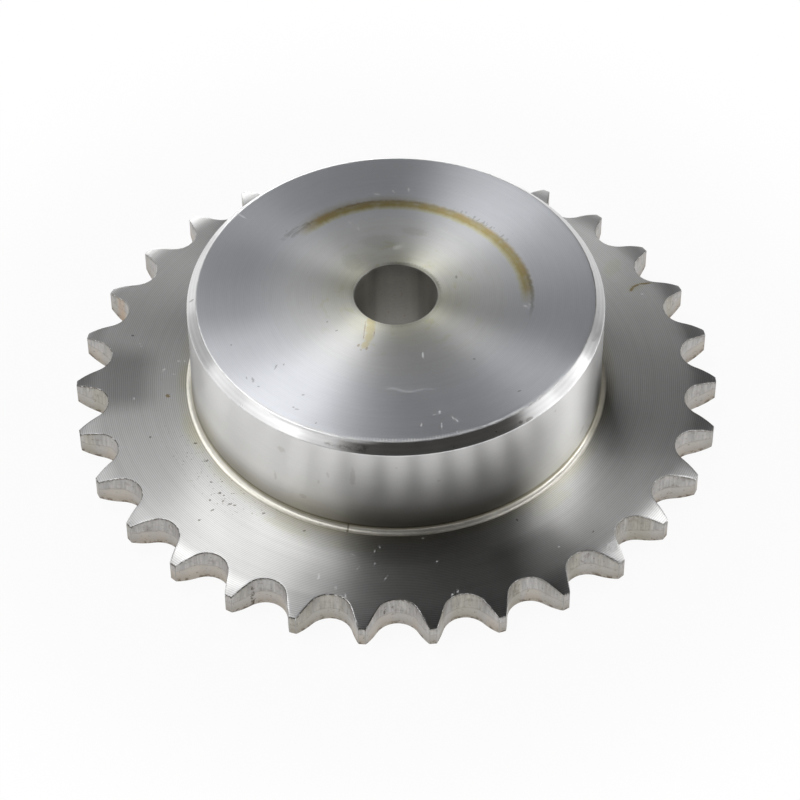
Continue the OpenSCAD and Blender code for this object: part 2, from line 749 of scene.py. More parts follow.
@dataclass(frozen=True)
class Film:
    """A see-through film on the steel: the share of each colour that it lets through, and its strength."""

    colour: Colour
    strength: float = 1.0

    def over(self, base: Wire, where: Wire) -> Wire:
        """Lay the film over a colour where a mask is 1."""
        return where.graph.tint(base, where * self.strength, self.colour)


@dataclass(frozen=True)
class Strand:
    """A strand of a long stain: its film, and its middle, half width and soft edge in millimetres."""

    film: Film
    middle: float
    half: float
    soft: float

    def over(self, base: Wire, across: Wire, where: Wire) -> Wire:
        """Lay the strand over a colour where a mask is 1."""
        return self.film.over(base, across.band(self.middle, self.half, self.soft) * where)


@dataclass(frozen=True)
class ToolLines:
    """Lines that a tool leaves: even ones at a pitch in millimetres, and uneven ones among them."""

    pitch: float
    even: float
    scale: float
    uneven: float
    detail: float = 3.0

    def shade(self, spot: Spot, along: Wire) -> Wire:
        """Work out how much lighter or darker the lines are than the steel, round 0."""
        among = spot.graph.line_noise(along, self.scale, self.detail) - 0.5
        return spot.lines(along, self.pitch) * self.even + among * self.uneven


@dataclass
class Skin:
    """What a finish gives its shader at each point."""

    colour: Wire
    roughness: Wire | float
    normal: Wire | None = None
    metallic: Wire | float = 1.0


@dataclass(frozen=True)
class Finish:
    """Bare machined steel. Fine grooves round the axis spread its reflections across them."""

    colour: Colour
    roughness: float
    grooves: float = 0.0
    quarter_turn: ClassVar[float] = 0.25
    waves: ClassVar[float] = 0.02 * MM
    bared: ClassVar[Colour] = (0.97, 0.97, 0.97)

    def paint(self, spot: Spot) -> Skin:
        """Work out the surface at each point.

        Args:
            spot: Where the point lies.

        Returns:
            Its colour, roughness and bumps.
        """
        raise NotImplementedError

    def material(self, name: str) -> bpy.types.Material:
        """Make the material.

        Args:
            name: The material's name.

        Returns:
            The material.
        """
        material = bpy.data.materials.new(name)
        material.use_nodes = True
        graph = Graph(material.node_tree)
        skin = self.paint(Spot(graph))
        inputs = {
            "Base Color": skin.colour,
            "Roughness": skin.roughness,
            "Metallic": skin.metallic,
            "Anisotropic": self.grooves,
            "Anisotropic Rotation": self.quarter_turn,
        }
        if skin.normal is not None:
            inputs["Normal"] = skin.normal
        shader = graph.add("ShaderNodeBsdfPrincipled", {}, inputs)
        graph.add("ShaderNodeOutputMaterial", {}, {"Surface": shader})
        return material


@dataclass(frozen=True)
class OilRing:
    """The arc of dried, rusty oil on the hub face. It is older and smokier towards its upper left end."""

    middle: float = 66.0
    reach: float = 73.0
    radius: float = 24.95
    sway: float = 0.4
    sway_from: float = 80.0
    sways: float = 3.0
    gold: Strand = Strand(Film((0.66, 0.565, 0.30)), 0.0, 0.3, 1.2)
    pale: Strand = Strand(Film((0.95, 0.92, 0.68)), -0.9, 0.2, 0.8)
    orange: Strand = Strand(Film((1.0, 0.86, 0.78), 0.6), 0.3, 0.1, 1.0)
    smoke: Strand = Strand(Film((0.80, 0.77, 0.70)), 0.4, 0.6, 1.8)
    brown: Strand = Strand(Film((0.50, 0.40, 0.27)), 0.72, 0.06, 0.4)
    grey: Film = Film((0.62, 0.62, 0.60), 0.7)
    hatching: Strand = Strand(grey, 1.5, 0.2, 0.5)
    tail: Strand = Strand(grey, 0.75, 0.1, 0.4)
    scribble: tuple[Mark, ...] = (
        Mark(-19.9, 17.1, 3.8, 2.2, 42), Mark(-19.3, 17.4, 3.4, 1.4, 50), Mark(-18.4, 18.5, 4.0, 1.4, 38),
    )

    def lay(self, spot: Spot, base: Wire) -> tuple[Wire, Wire]:
        """Lay the stain over a colour.

        Args:
            spot: Where the point lies.
            base: The colour under it.

        Returns:
            The stained colour and how much stain there is.
        """
        along = spot.turn(self.middle) / math.radians(self.reach)
        wobble = spot.streaks(26.0, 0.5) - 0.5
        patches = spot.streaks(9.0, 0.25)
        middle = (spot.turn(self.sway_from) * self.sways).sine() * self.sway + self.radius
        across = spot.r - middle + wobble * 0.6
        ends = along.size().rise(1.02, 0.80)
        old = along.rise(0.0, 0.4)
        body = ends * (patches.rise(0.25, 0.55) * 0.25 + 0.75)
        colour = self.gold.over(base, across, body)
        colour = self.pale.over(colour, across, body)
        colour = self.orange.over(colour, across, ends * patches.rise(0.48, 0.60))
        colour = self.smoke.over(colour, across, body * old)
        colour = self.brown.over(colour, across, ends * patches.rise(0.58, 0.40) * (old * 0.3 + 0.35))
        hatched = spot.streaks(60.0, 0.6, 1.0).rise(0.52, 0.62) * along.band(-0.25, 0.12, 0.15)
        colour = self.hatching.over(colour, across, hatched)
        colour = self.tail.over(colour, across, along.rise(-0.6, -0.85) * along.size().rise(1.12, 1.0))
        feather = spot.streaks(6.0, 2.2).rise(0.36, 0.56)
        colour = self.grey.over(colour, spot.marked(self.scribble, wobble * 2.0) * feather)
        return colour, across.band(0.0, 0.3, 1.0) * body


@dataclass(frozen=True)
class FacedHub(Finish):
    """The turned hub face, with its oil ring, a drip, pits, flecks and a painted highlight along its rim."""

    colour: Colour = (0.87, 0.87, 0.865)
    roughness: float = 0.34
    grooves: float = 0.82
    lines: ToolLines = ToolLines(pitch=0.36, even=0.025, scale=1.4, uneven=0.05)
    edge_r: float = 38.1
    burr_pitch: float = 0.58
    # Stretches of the rim that carry its painted highlight: burrs in front and a thin line beside them.
    burred: Fan = Fan(274.0, math.radians(24), math.radians(8))
    rim_highlight_stretch: Fan = Fan(274.0, math.radians(62), math.radians(42))
    worn: Fan = Fan(274.0, 1.6, 1.0)
    dirty_lip: Fan = Fan(55.0, 1.0, 0.6)
    smoky: Fan = Fan(138.0, 1.16, 0.86)
    burr_depth: Fade = (1.05, 0.45)
    line_depth: Fade = (0.55, 0.25)
    cast_r: Fade = (15.0, 30.0)
    oil_r: Fade = (17.0, 8.5)
    smear_r: Fade = (22.0, 12.0)
    lip_r: Fade = (9.1, 8.4)
    smoke_r: Fade = (19.0, 31.0)
    worn_r: Fade = (14.0, 9.0)
    blue_cast: Film = Film((0.965, 0.985, 1.045))
    oiled: Film = Film((0.94, 0.93, 0.80))
    smeared: Film = Film((0.90, 0.90, 0.74), 0.6)
    darkened: Film = Film((0.86, 0.87, 0.84), 0.7)
    lip_dirt: Film = Film((0.42, 0.42, 0.38), 0.8)
    smoke: Film = Film((0.72, 0.72, 0.72), 0.8)
    drip_oil: Film = Film((0.93, 0.87, 0.66))
    drip_rim: Film = Film((0.62, 0.52, 0.38), 0.7)
    pitted: Film = Film((0.40, 0.40, 0.38), 0.6)
    grit: Film = Film((0.5, 0.5, 0.5), 0.2)
    pits: tuple[Mark, ...] = (
        Mark(-26.7, -22.3, 1.3, 0.5, 100), Mark(-22.5, -19.0, 1.6, 0.35, 70),
        Mark(-21.0, -18.3, 0.7, 0.3, 80), Mark(-27.9, -21.8, 0.6, 0.3, 100),
        Mark(-17.3, -26.2, 0.6, 0.4, 0), Mark(-19.0, -29.3, 0.5, 0.4, 0), Mark(-18.4, -29.8, 0.9, 0.3, 170),
        Mark(-14.8, -33.3, 0.6, 0.35, 60), Mark(22.9, -25.5, 0.9, 0.35, 30),
        Mark(-25.6, -24.0, 0.5, 0.4, 0), Mark(14.6, -17.2, 0.6, 0.5, 0), Mark(-11.2, -9.6, 0.7, 0.35, 45),
        Mark(-13.0, -7.2, 0.6, 0.3, 60), Mark(11.6, 4.6, 0.5, 0.9, 0),
        Mark(-31.0, -13.2, 0.4, 0.4, 0),
    )
    flecks: tuple[Mark, ...] = (
        Mark(24.6, -3.3, 0.7, 0.4, 160), Mark(25.5, -2.9, 0.6, 0.4, 120), Mark(25.2, -3.9, 0.5, 0.3, 40),
        Mark(5.0, -16.1, 0.35, 1.5, 0), Mark(8.0, -30.7, 0.4, 0.8, 0), Mark(10.4, -32.2, 0.25, 1.0, 10),
        Mark(11.1, -32.9, 0.3, 0.8, 30), Mark(8.3, -34.2, 0.25, 1.4, 0), Mark(4.6, -34.0, 0.3, 0.7, 0),
        Mark(6.9, -31.4, 0.6, 0.25, 20), Mark(-30.0, 21.8, 2.0, 0.3, 140),
        Mark(-8.9, 19.8, 0.7, 0.4, 130), Mark(-7.2, 18.0, 0.3, 1.2, 20), Mark(-3.6, 27.8, 1.3, 0.4, 170),
        Mark(-0.4, 28.6, 0.9, 0.3, 120), Mark(2.6, 29.0, 0.3, 1.1, 0),
    )
    squiggle: tuple[Mark, ...] = (
        Mark(-1.2, -24.6, 2.2, 0.5, 20), Mark(0.8, -25.2, 2.4, 0.6, 155), Mark(2.6, -25.5, 2.0, 0.6, 10),
        Mark(4.4, -25.0, 2.2, 0.4, 20), Mark(6.6, -24.9, 1.8, 0.3, 175), Mark(0.3, 12.8, 1.8, 1.0, 30),
    )
    dull_patches: tuple[Mark, ...] = (
        Mark(-3.0, 14.4, 7.0, 3.6, 0), Mark(-8.4, 8.8, 5.0, 3.4, 120), Mark(3.6, 17.2, 5.0, 2.2, 170),
    )
    drip: tuple[Mark, ...] = (
        Mark(-4.7, -7.2, 2.6, 1.6, 84), Mark(-4.8, -9.2, 3.2, 1.7, 84), Mark(-5.1, -11.3, 2.8, 1.5, 78),
        Mark(-5.8, -13.3, 2.2, 1.3, 62),
    )
    drip_edges: tuple[Mark, ...] = (
        Mark(-5.9, -9.0, 3.4, 0.22, 84), Mark(-6.1, -11.2, 1.2, 0.2, 80), Mark(-7.1, -13.5, 0.8, 0.5, 60),
        Mark(-5.5, -14.3, 0.8, 0.45, 60), Mark(-6.6, -14.7, 0.4, 0.3, 0), Mark(-4.1, -10.4, 1.6, 0.2, 84),
    )

    def painted_rim_highlight(self, spot: Spot, ragged: Wire) -> Wire:
        """Work out the painted highlight along the rim: near-white torn burrs in front, and a thin bright
        line beside them.

        Args:
            spot: Where the point lies.
            ragged: Noise round 0 that makes edges ragged.

        Returns:
            How strong the rim's painted highlight is, from 0 to 1.
        """
        inside = self.edge_r - spot.r
        torn = self.burred.mask(spot)
        ticks = spot.lines(spot.turn(self.burred.at) * self.edge_r, self.burr_pitch).rise(-0.1, 0.7)
        uneven = spot.streaks(24.0, 0.4, 2.0).rise(0.35, 0.6)
        burrs = (inside + ragged * 0.8).rise(*self.burr_depth) * ticks * torn * (uneven * 0.5 + 0.5)
        line = (inside + ragged * 0.3).rise(*self.line_depth) * self.rim_highlight_stretch.mask(spot)
        return burrs.most(line * (uneven * 0.6 + 0.2) * (1.0 - torn * 0.6))

    def paint(self, spot: Spot) -> Skin:
        """Work out the hub face: fine rings, a blue cast outside, an oily one at the bore, its marks, and the
        painted highlight on its rim.
        """
        graph = spot.graph
        clouds = spot.clouds(0.09)
        swirls = spot.streaks(5.0, 0.9, 4.0, 0.6) - 0.5
        ragged = (spot.grain(2.2) - 0.5) * 1.3
        level = 1.0 + self.lines.shade(spot, spot.r) + swirls * 0.07 + (clouds - 0.5) * 0.08
        colour = self.blue_cast.over(graph.dim(self.colour, level), spot.r.rise(*self.cast_r))
        colour = self.oiled.over(colour, spot.r.rise(*self.oil_r) * (clouds.rise(0.3, 0.6) * 0.6 + 0.4))
        smears = spot.streaks(3.2, 0.45, 3.0, 0.65).rise(0.56, 0.7)
        colour = self.smeared.over(colour, smears * spot.r.rise(*self.smear_r))
        colour = self.darkened.over(colour, spot.marked(self.dull_patches, ragged * 0.8))
        lip = (spot.r + ragged * 0.6).rise(*self.lip_r)
        colour = self.lip_dirt.over(colour, lip * (self.dirty_lip.mask(spot) * 0.7 + 0.3))
        colour = self.smoke.over(colour, self.smoky.mask(spot) * spot.r.rise(*self.smoke_r))
        colour, stain = OilRing().lay(spot, colour)
        colour = self.drip_oil.over(colour, spot.marked(self.drip, ragged * 0.5))
        colour = self.drip_rim.over(colour, spot.marked(self.drip_edges, ragged))
        broken = (spot.grain(3.6) - 0.5) * 2.4 + 0.15
        colour = self.pitted.over(colour, spot.marked(self.pits, broken))
        colour = self.grit.over(colour, spot.grain(2.4, 1.0).rise(0.70, 0.76) * clouds.rise(0.48, 0.6))
        smear = spot.marked(self.squiggle, ragged * 1.5)
        flecks = spot.marked(self.flecks, ragged * 0.8 - 0.1)
        # The rim's painted highlight and the flecks are laid on as near-white, less metallic colour.
        bright = (flecks * 0.5).most(self.painted_rim_highlight(spot, ragged)).most(smear * 0.11)
        colour = graph.blend(bright, colour, self.bared)
        rough = self.roughness + (clouds - 0.5) * 0.03 + swirls * 0.04 + stain * 0.05 + bright * 0.3
        rough = rough + smear * 0.09 + spot.r.rise(*self.worn_r) * self.worn.mask(spot) * 0.05
        return Skin(colour, rough, graph.bump(clouds, self.waves), 1.0 - bright.least(0.9))


@dataclass(frozen=True)
class FacedPlate(Finish):
    """The turned front face of the toothed plate, with clear rings, an oil film, pits, scratches and painted
    shade.
    """

    colour: Colour = (0.60, 0.60, 0.595)
    roughness: float = 0.335
    grooves: float = 0.89
    lines: ToolLines = ToolLines(pitch=0.38, even=0.14, scale=1.1, uneven=0.10)
    crowded: Fan = Fan(216.0, 0.45, 0.15)
    # Stretch of the tips where painted shade tones down a highlight on the relief.
    tip_glare_shade: Fan = Fan(228.0, 0.75, 0.5)
    film_r: Fade = (44.0, 41.2)
    crowd_r: tuple[float, float, float] = (44.0, 2.0, 3.0)
    tip_r: Fade = (56.5, 58.5)
    oil_film: Film = Film((0.93, 0.91, 0.80))
    oiled: Film = Film((0.95, 0.94, 0.80), 0.5)
    grit: Film = Film((0.42, 0.40, 0.33))
    rusty: Film = Film((0.50, 0.38, 0.18), 0.9)
    pitted: Film = Film((0.24, 0.23, 0.19), 0.85)
    darkened: Film = Film((0.80, 0.80, 0.80))
    bared: Colour = (0.95, 0.95, 0.95)
    # Painted shade: black films over two stretches of the plate's outer part.
    painted_shades: tuple[tuple[Fan, float, float, Film], ...] = (
        (Fan(180.0, 0.20, 0.08), 45.0, 52.0, Film((0.0, 0.0, 0.0), 0.38)),
        (Fan(299.0, 0.20, 0.08), 46.0, 50.0, Film((0.0, 0.0, 0.0), 0.34)),
    )
    pits: tuple[Mark, ...] = (
        Mark(-38.8, -17.2, 0.9, 0.5, 0), Mark(-36.4, -21.8, 0.9, 0.6, 30), Mark(-35.4, -27.2, 0.5, 0.5, 0),
        Mark(-33.3, -27.1, 0.4, 0.4, 0), Mark(-33.6, -30.0, 0.7, 0.6, 0), Mark(-35.4, -31.8, 0.5, 0.4, 0),
        Mark(-31.6, -32.8, 0.9, 0.5, 20), Mark(-30.7, -33.1, 0.6, 0.4, 0), Mark(-34.8, -34.3, 1.0, 0.4, 40),
        Mark(-32.8, -30.6, 0.5, 0.4, 0), Mark(-32.9, -32.0, 0.8, 0.4, 60), Mark(-39.3, -10.1, 0.5, 0.5, 0),
        Mark(-47.5, -15.6, 0.5, 0.6, 0), Mark(-37.2, -36.8, 0.6, 0.5, 0), Mark(-25.2, -35.2, 0.8, 0.4, 20),
        Mark(-17.4, -39.6, 0.7, 0.4, 0), Mark(22.6, -37.2, 0.5, 0.5, 0), Mark(36.8, -40.2, 0.7, 0.25, 50),
        Mark(-52.3, 11.8, 0.7, 0.5, 0),
    )
    flecks: tuple[Mark, ...] = (
        Mark(-8.3, -45.6, 1.2, 0.4, 150), Mark(-7.3, -48.8, 1.1, 0.35, 60), Mark(-4.2, -44.7, 0.8, 0.3, 80),
        Mark(-3.3, -43.7, 0.7, 0.3, 110), Mark(-4.2, -47.9, 0.9, 0.3, 80), Mark(7.5, -47.2, 0.8, 0.35, 40),
        Mark(4.8, -41.6, 0.6, 0.3, 0), Mark(-2.1, -51.3, 1.6, 0.3, 60), Mark(-42.8, 4.7, 0.8, 0.6, 0),
        Mark(-41.6, 4.7, 0.5, 0.6, 0), Mark(-45.7, 2.3, 1.2, 0.5, 60), Mark(-43.6, 1.2, 0.7, 0.4, 0),
        Mark(40.1, -43.6, 2.6, 1.8, 60), Mark(10.2, -55.2, 1.0, 0.45, 60), Mark(11.1, -54.5, 0.5, 0.9, 0),
        Mark(15.9, -56.7, 0.5, 0.9, 20), Mark(17.0, -58.1, 0.5, 0.9, 20), Mark(49.4, 22.6, 0.6, 0.4, 0),
        Mark(-14.6, -50.8, 1.4, 0.5, 80), Mark(-11.4, -53.6, 0.5, 1.1, 0), Mark(-9.6, -55.4, 0.4, 1.1, 0),
        Mark(-51.2, -5.4, 0.5, 0.7, 0), Mark(30.2, -43.9, 0.5, 0.4, 0), Mark(-50.6, 9.2, 0.3, 1.4, 20),
    )
    rust: tuple[Mark, ...] = (
        Mark(50.2, 25.6, 2.6, 0.45, 8), Mark(48.3, 25.0, 2.0, 0.5, 30), Mark(47.4, 24.0, 1.4, 0.6, 60),
        Mark(-44.6, -4.7, 0.8, 0.9, 0),
    )
    oil: tuple[Mark, ...] = (
        Mark(43.7, 30.1, 5.0, 3.0, 60), Mark(48.4, 24.8, 4.4, 1.8, 30), Mark(47.9, 24.4, 3.0, 1.6, 40),
        Mark(-41.4, 0.5, 2.6, 7.0, 0), Mark(-39.5, -14.6, 3.0, 9.0, 22),
        Mark(-20.5, -38.6, 10.0, 2.6, 152), Mark(-8.0, -43.4, 11.0, 2.6, 170),
        Mark(29.5, -32.8, 9.0, 2.6, 42),
    )

    def paint(self, spot: Spot) -> Skin:
        """Work out the plate's front face: clear rings, oil at the hub's foot, marks, and painted shade in
        two stretches and over the tips' highlight.
        """
        graph = spot.graph
        clouds = spot.clouds(0.08)
        swirls = spot.streaks(6.0, 0.8, 4.0, 0.6) - 0.5
        grain = spot.grain(1.6)
        ragged = (grain - 0.5) * 1.5
        level = 1.0 + self.lines.shade(spot, spot.r) + swirls * 0.10 + (clouds - 0.5) * 0.10
        film = spot.r.rise(*self.film_r) * (clouds.rise(0.3, 0.6) * 0.7 + 0.3)
        colour = self.oil_film.over(graph.dim(self.colour, level), film)
        colour = self.oiled.over(colour, spot.marked(self.oil, ragged * 0.8))
        crowd = self.crowded.mask(spot) * spot.r.band(*self.crowd_r)
        colour = self.grit.over(colour, spot.grain(2.4, 1.0).rise(0.66, 0.74) * (crowd * 0.75 + 0.12))
        broken = (spot.grain(3.6) - 0.5) * 2.4 + 0.2
        colour = self.rusty.over(colour, spot.marked(self.rust, broken - 0.2))
        colour = self.pitted.over(colour, spot.marked(self.pits, broken))
        # painted shade that tones down the highlight on the relief near the tips
        colour = self.darkened.over(colour, self.tip_glare_shade.mask(spot) * spot.r.rise(*self.tip_r))
        # painted shade over two stretches of the plate's outer part
        for fan, inner_r, outer_r, shade in self.painted_shades:
            colour = shade.over(colour, fan.mask(spot) * spot.r.rise(inner_r, outer_r))
        bright = spot.marked(self.flecks, ragged) * grain.rise(0.35, 0.6)
        colour = graph.blend(bright * 0.85, colour, self.bared)
        rough = self.roughness + (clouds - 0.5) * 0.04 + swirls * 0.05 + bright * 0.25
        return Skin(colour, rough, graph.bump(clouds, self.waves), 1.0 - bright * 0.8)


@dataclass(frozen=True)
class FacedBack(Finish):
    """The flat back, turned like the front and a little duller from lying on benches."""

    colour: Colour = (0.56, 0.56, 0.55)
    roughness: float = 0.38
    grooves: float = 0.78
    lines: ToolLines = ToolLines(pitch=0.42, even=0.09, scale=0.9, uneven=0.10)
    oiled: Film = Film((0.92, 0.88, 0.76), 0.6)
    bared: Colour = (0.85, 0.85, 0.85)

    def paint(self, spot: Spot) -> Skin:
        """Work out the back face."""
        graph = spot.graph
        clouds = spot.clouds(0.07, detail=4.0)
        swirls = spot.streaks(6.0, 0.8, 4.0, 0.6) - 0.5
        scuffs = graph.noise(spot.stretched(0.5, 2.4, 0.0), 1.0, 3.0).rise(0.62, 0.75)
        level = 1.0 + self.lines.shade(spot, spot.r) + swirls * 0.10 + (clouds - 0.5) * 0.16
        colour = self.oiled.over(graph.dim(self.colour, level), clouds.rise(0.55, 0.75))
        colour = graph.blend(scuffs * 0.25, colour, self.bared)
        rough = self.roughness + (clouds - 0.5) * 0.06 + scuffs * 0.10
        return Skin(colour, rough, graph.bump(clouds, self.waves))


@dataclass(frozen=True)
class TurnedWall(Finish):
    """The hub's wall: smooth round the axis, with painted shade that grows towards its foot and a dark line
    of oil and painted shade at the foot.
    """

    colour: Colour = (0.79, 0.785, 0.775)
    roughness: float = 0.287
    grooves: float = 0.85
    hub_r: float = 40.0
    foot: float = 8.1
    lines: ToolLines = ToolLines(pitch=0.30, even=0.02, scale=1.2, uneven=0.04)
    # Painted shade on the wall: darker towards the foot except at the right front, at the front and at the
    # far end; the left end is darker.
    unshaded_stretch: Fan = Fan(325.0, 0.42, 0.22)
    shaded_front: Fan = Fan(266.0, 0.62, 0.30)
    dark_end: Fan = Fan(353.0, 0.24, 0.10)
    left_end: Fan = Fan(182.0, 0.26, 0.14)
    above_foot: Fade = (7.5, 0.3)
    above_front: Fade = (12.0, 3.0)
    above_end: Fade = (13.9, 5.9)
    above_oil: Fade = (0.7, 0.1)
    specked: Film = Film((0.62, 0.60, 0.56), 0.35)
    wall_foot_shade: Film = Film((0.48, 0.465, 0.43))
    front_wall_shade: Film = Film((0.80, 0.79, 0.75), 0.8)
    end_shade: Film = Film((0.30, 0.29, 0.28), 0.65)
    left_end_darkening: Film = Film((0.65, 0.65, 0.65), 0.6)
    foot_oil_and_shade: Film = Film((0.42, 0.39, 0.30), 0.8)
    specks: tuple[Mark, ...] = (
        Mark(-13.0, 20.8, 0.5, 1.6, 10), Mark(-14.9, 18.2, 0.4, 1.2, 0), Mark(-24.2, 15.2, 0.6, 2.2, 0),
        Mark(-18.2, 12.7, 1.4, 1.0, 0), Mark(0.0, 24.9, 0.5, 0.4, 0), Mark(7.8, 20.5, 0.8, 0.5, 0),
        Mark(33.3, 26.0, 0.6, 0.6, 0), Mark(43.6, 11.7, 2.0, 1.0, 20), Mark(-22.6, 23.4, 1.6, 1.4, 0),
        Mark(-8.2, 21.6, 1.0, 4.6, 0),
    )

    def paint(self, spot: Spot) -> Skin:
        """Work out the hub's wall: its specks, then painted shade that fades out above its foot, at its front
        and far end, a darker left end, and the foot's line of oil and painted shade.
        """
        clouds = spot.clouds(0.10, up=0.14)
        ragged = (spot.grain(1.8) - 0.5) * 1.4
        colour = spot.graph.dim(self.colour, 1.0 + self.lines.shade(spot, spot.z) + (clouds - 0.5) * 0.08)
        wall = spot.unrolled(self.hub_r, spot.z)
        colour = self.specked.over(colour, spot.marked(self.specks, ragged, wall))
        above = spot.z - self.foot
        # painted shade, darker towards the foot, at the front and at the far end; the foot's dark line is
        # partly oil
        painted_shade = above.rise(*self.above_foot) * (1.0 - self.unshaded_stretch.mask(spot))
        colour = self.wall_foot_shade.over(colour, painted_shade * (clouds.rise(0.25, 0.6) * 0.2 + 0.8))
        colour = self.front_wall_shade.over(colour, self.shaded_front.mask(spot) * above.rise(*self.above_front))
        colour = self.end_shade.over(colour, self.dark_end.mask(spot) * above.rise(*self.above_end))
        colour = self.left_end_darkening.over(colour, self.left_end.mask(spot))
        colour = self.foot_oil_and_shade.over(colour, above.rise(*self.above_oil))
        return Skin(colour, self.roughness + (clouds - 0.5) * 0.03)


@dataclass(frozen=True)
class TurnedChamfer(Finish):
    """The chamfer round the hub face: bright, with ridges, nicks, scuffs and a burred inner edge; painted
    shade in hazy smears and over two stretches, and a painted highlight on the scuffs and burrs.
    """

    colour: Colour = (0.86, 0.86, 0.86)
    roughness: float = 0.285
    grooves: float = 0.96
    middle_r: float = 39.1
    lines: ToolLines = ToolLines(pitch=0.75, even=0.04, scale=2.6, uneven=0.14, detail=2.0)
    burred: Fan = Fan(248.0, 0.34, 0.18)
    glare_shade_stretch: Fan = Fan(146.0, 0.36, 0.14)
    shaded: Fan = Fan(281.0, 0.56, 0.34)
    burr_r: Fade = (38.75, 38.45)
    nicked: Film = Film((0.45, 0.44, 0.42), 0.7)
    patch_darkening: Film = Film((0.40, 0.39, 0.38), 0.7)
    darkened: Film = Film((0.76, 0.76, 0.76))
    shade: Film = Film((0.64, 0.62, 0.60))
    nicks: tuple[Mark, ...] = (
        Mark(26.0, 39.75, 1.6, 0.5, 0), Mark(-60.8, 39.0, 0.5, 1.0, 20), Mark(24.2, 39.5, 0.8, 0.4, 0),
    )
    # Painted shade: hazy dark smears where the chamfer's highlight gives way to its dark front.
    shade_smears: tuple[Mark, ...] = (
        Mark(-12.4, 39.4, 2.6, 0.5, 0), Mark(-9.4, 39.4, 4.0, 0.8, 0), Mark(-6.4, 39.3, 3.4, 1.2, 0),
    )
    scuffs: tuple[Mark, ...] = (
        Mark(51.6, 39.4, 2.4, 0.7, 15), Mark(53.6, 39.6, 1.8, 0.4, 160), Mark(49.8, 39.1, 1.4, 0.5, 20),
    )

    def paint(self, spot: Spot) -> Skin:
        """Work out the chamfer: its ridges, then its nicks and painted shade, then its scuffs and burrs
        painted near-white as a highlight.
        """
        graph = spot.graph
        ragged = (spot.grain(2.0) - 0.5) * 1.5
        streaks = spot.streaks(14.0, 1.6) - 0.5
        colour = graph.dim(self.colour, 1.0 + self.lines.shade(spot, spot.r) + streaks * 0.14)
        band = spot.unrolled(self.middle_r, spot.r)
        colour = self.nicked.over(colour, spot.marked(self.nicks, ragged, band))
        hazy = spot.streaks(40.0, 2.4, 4.0, 0.65)
        # painted shade in hazy smears where the highlight gives way to the dark front
        shade_smears = spot.marked(self.shade_smears, (hazy - 0.5) * 2.0, band) * hazy.rise(0.40, 0.62)
        colour = self.patch_darkening.over(colour, shade_smears)
        # painted shade that tones down the glare at the back left, then painted shade over the front
        colour = self.darkened.over(colour, self.glare_shade_stretch.mask(spot))
        colour = self.shade.over(colour, self.shaded.mask(spot))
        # The scuffs and the burrs at the inner edge are worn metal, painted near-white and less metallic as a
        # bright highlight.
        scuffs = spot.marked(self.scuffs, ragged, band)
        burrs = self.burred.mask(spot) * (spot.r + ragged * 0.12).rise(*self.burr_r)
        colour = graph.blend(scuffs.most(burrs) * 0.75, colour, self.bared)
        rough = self.roughness + scuffs * 0.3 + streaks * 0.05
        return Skin(colour, rough, metallic=1.0 - burrs * 0.7)


@dataclass(frozen=True)
class OiledFillet(Finish):
    """The fillet at the hub's foot, where a thin cream film of dried oil has gathered."""

    colour: Colour = (0.90, 0.875, 0.79)
    roughness: float = 0.42
    nick: Fan = Fan(256.8, 0.007, 0.002)
    far_end: Fan = Fan(354.0, 0.38, 0.24)
    upper_z: Fade = (7.5, 7.85)
    upper_oil_and_shade: Film = Film((0.44, 0.42, 0.35), 0.8)
    end_shade: Film = Film((0.42, 0.41, 0.37), 0.9)
    nicked: Film = Film((0.30, 0.27, 0.20), 0.7)

    def paint(self, spot: Spot) -> Skin:
        """Work out the fillet: patches of the film, a dark upper edge of oil and painted shade, painted shade
        at its far end, and a nick.
        """
        patches = spot.streaks(22.0, 1.0)
        colour = spot.graph.dim(self.colour, 0.85 + patches * 0.3)
        # a dark upper edge that is partly oil and partly painted shade, then painted shade at the far end
        colour = self.upper_oil_and_shade.over(colour, spot.z.rise(*self.upper_z))
        colour = self.end_shade.over(colour, self.far_end.mask(spot))
        colour = self.nicked.over(colour, self.nick.mask(spot))
        return Skin(colour, self.roughness + (patches - 0.5) * 0.1)


